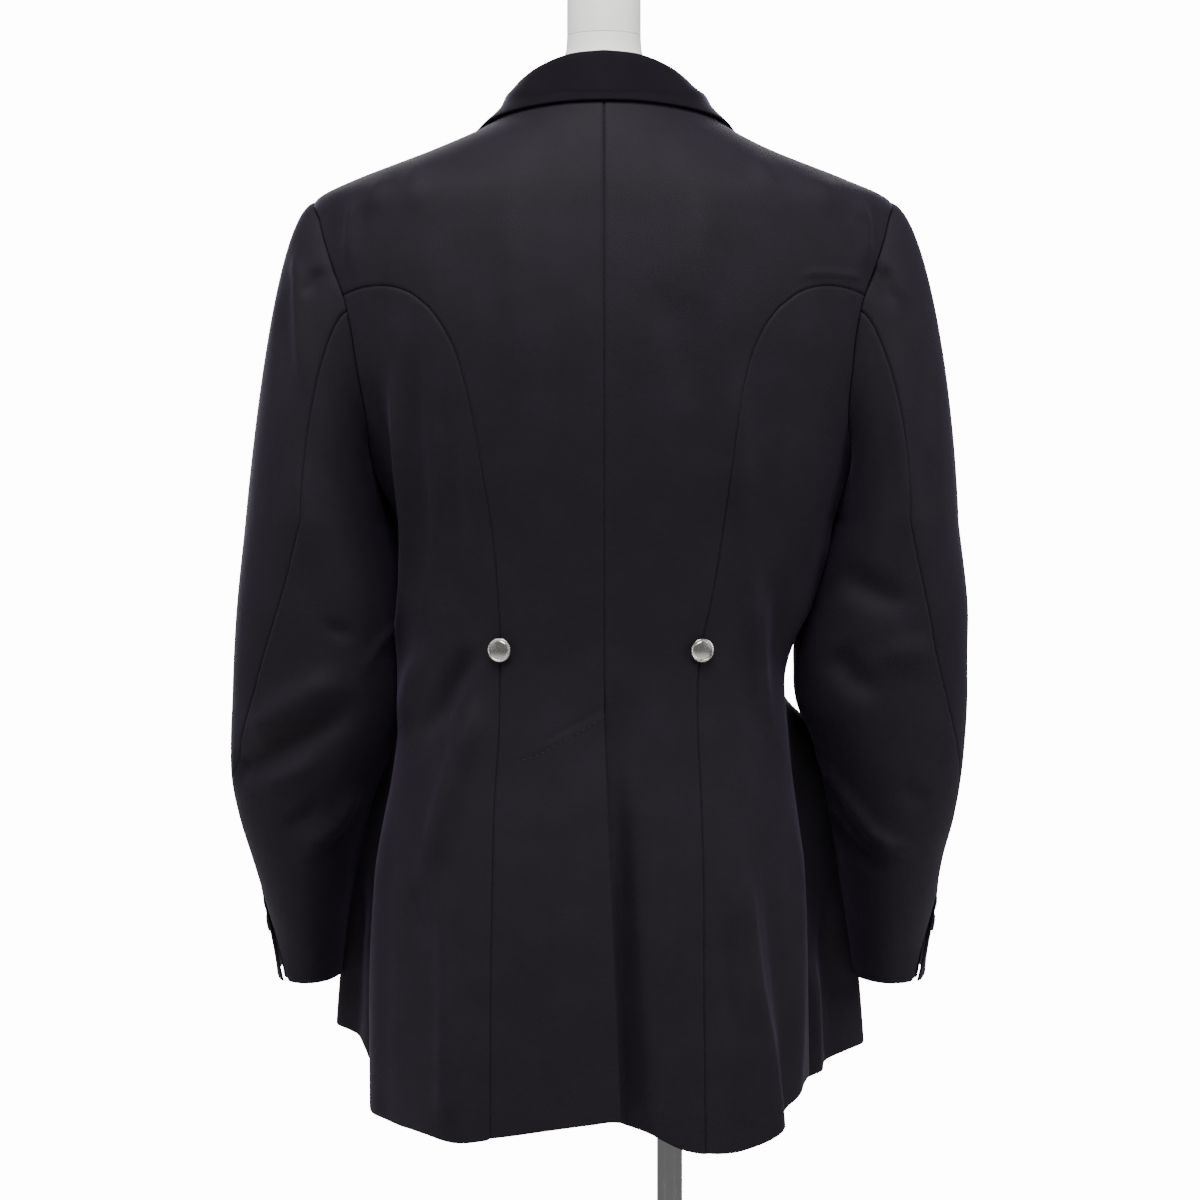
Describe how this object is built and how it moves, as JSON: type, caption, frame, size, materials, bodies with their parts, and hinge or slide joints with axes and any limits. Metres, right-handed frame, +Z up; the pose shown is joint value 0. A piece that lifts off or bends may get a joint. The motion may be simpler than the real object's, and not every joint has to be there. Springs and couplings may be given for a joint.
{
  "type": "riding jacket on a dress form",
  "caption": "Tailored wool riding jacket with a velvet collar, curved back seams, a vented skirt and metal buttons, worn by a limbless dress form on a pole stand.",
  "frame": {"origin": "on the floor, at the middle of the stand's round base plate", "axes": "+Z up; the back of the jacket faces +Y and the wearer's left is +X"},
  "size_m": [0.5532, 0.37, 1.535],
  "materials": {
    "wool_cloth": "fine twill, dark grey with a slight violet cast",
    "collar_velvet": "short pile velvet",
    "button_metal": "cast, silver tone",
    "form_cover": "smooth, white",
    "stand_chrome": "polished",
    "stand_steel": "brushed"
  },
  "bodies": {
    "root": {"back_left": "wool_cloth", "back_right": "wool_cloth", "side_back_left": "wool_cloth", "side_back_right": "wool_cloth", "front_left": "wool_cloth", "front_right": "wool_cloth", "lapel_left": "wool_cloth", "lapel_right": "wool_cloth", "sleeve_top_left": "wool_cloth", "sleeve_top_right": "wool_cloth", "sleeve_under_left": "wool_cloth", "sleeve_under_right": "wool_cloth", "collar": "collar_velvet", "button_back_left": "button_metal", "button_back_right": "button_metal", "button_front_1": "button_metal", "button_front_2": "button_metal", "button_front_3": "button_metal", "button_cuff_left_1": "button_metal", "button_cuff_left_2": "button_metal", "button_cuff_left_3": "button_metal", "button_cuff_left_4": "button_metal", "button_cuff_right_1": "button_metal", "button_cuff_right_2": "button_metal", "button_cuff_right_3": "button_metal", "button_cuff_right_4": "button_metal", "form_torso": "form_cover", "form_neck": "form_cover", "stand_pole": "stand_chrome", "stand_socket": "stand_chrome", "stand_base": "stand_steel"}
  },
  "joints": []
}
